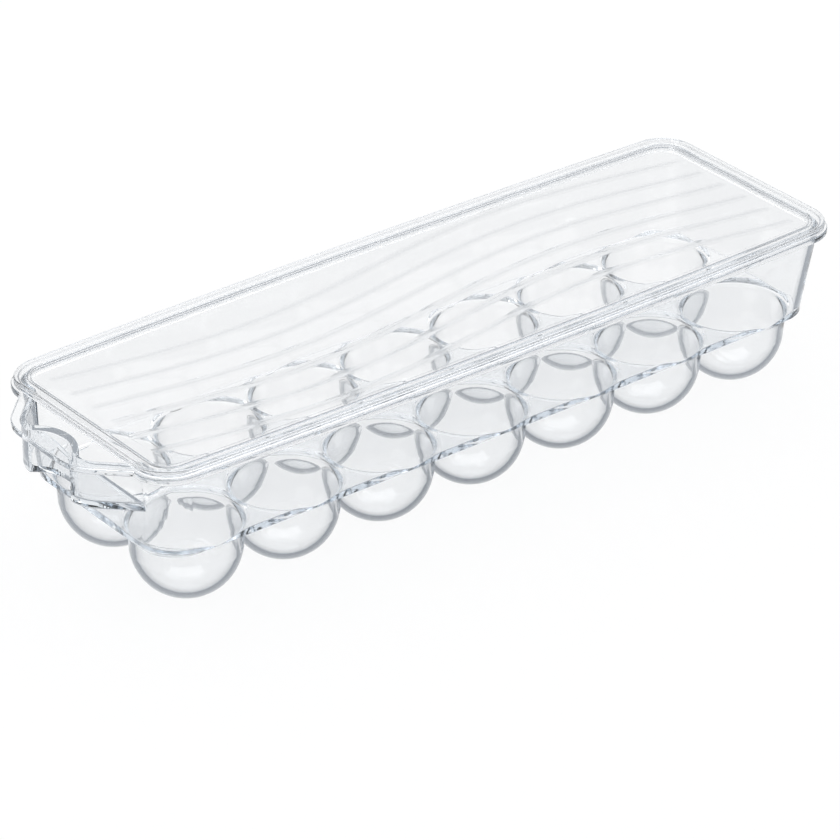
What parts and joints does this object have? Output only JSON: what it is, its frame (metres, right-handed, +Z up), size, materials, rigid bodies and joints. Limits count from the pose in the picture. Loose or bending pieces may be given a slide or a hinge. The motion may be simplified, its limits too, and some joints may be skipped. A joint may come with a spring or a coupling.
{
  "type": "egg keeper",
  "caption": "Long clear plastic egg tray with rows of round cups and a pull handle with a finger scoop at one end, under a flat lift-off lid with low wave ribs.",
  "frame": {"origin": "middle of the overall box in X and Y, at the level of the table that the cups stand on", "axes": "+X along the tray away from the handle, +Z up, the way the lid lifts off"},
  "size_m": [0.3644, 0.1162, 0.074],
  "materials": {
    "clear_tray": "clear, glossy",
    "clear_lid": "clear, glossy"
  },
  "bodies": {
    "tray": {"egg_deck": "clear_tray", "side_wall": "clear_tray", "rim": "clear_tray", "handle": "clear_tray", "egg_cup_01": "clear_tray", "egg_cup_02": "clear_tray", "egg_cup_03": "clear_tray", "egg_cup_04": "clear_tray", "egg_cup_05": "clear_tray", "egg_cup_06": "clear_tray", "egg_cup_07": "clear_tray", "egg_cup_08": "clear_tray", "egg_cup_09": "clear_tray", "egg_cup_10": "clear_tray", "egg_cup_11": "clear_tray", "egg_cup_12": "clear_tray", "egg_cup_13": "clear_tray", "egg_cup_14": "clear_tray"},
    "lid": {"lid_band": "clear_lid", "lid_panel": "clear_lid", "wave_ribs": "clear_lid"}
  },
  "joints": [
    {"name": "lid_lift", "type": "slide", "parent": "tray", "child": "lid", "axis": [0, 0, 1], "range_m": [0, 0.12]}
  ]
}
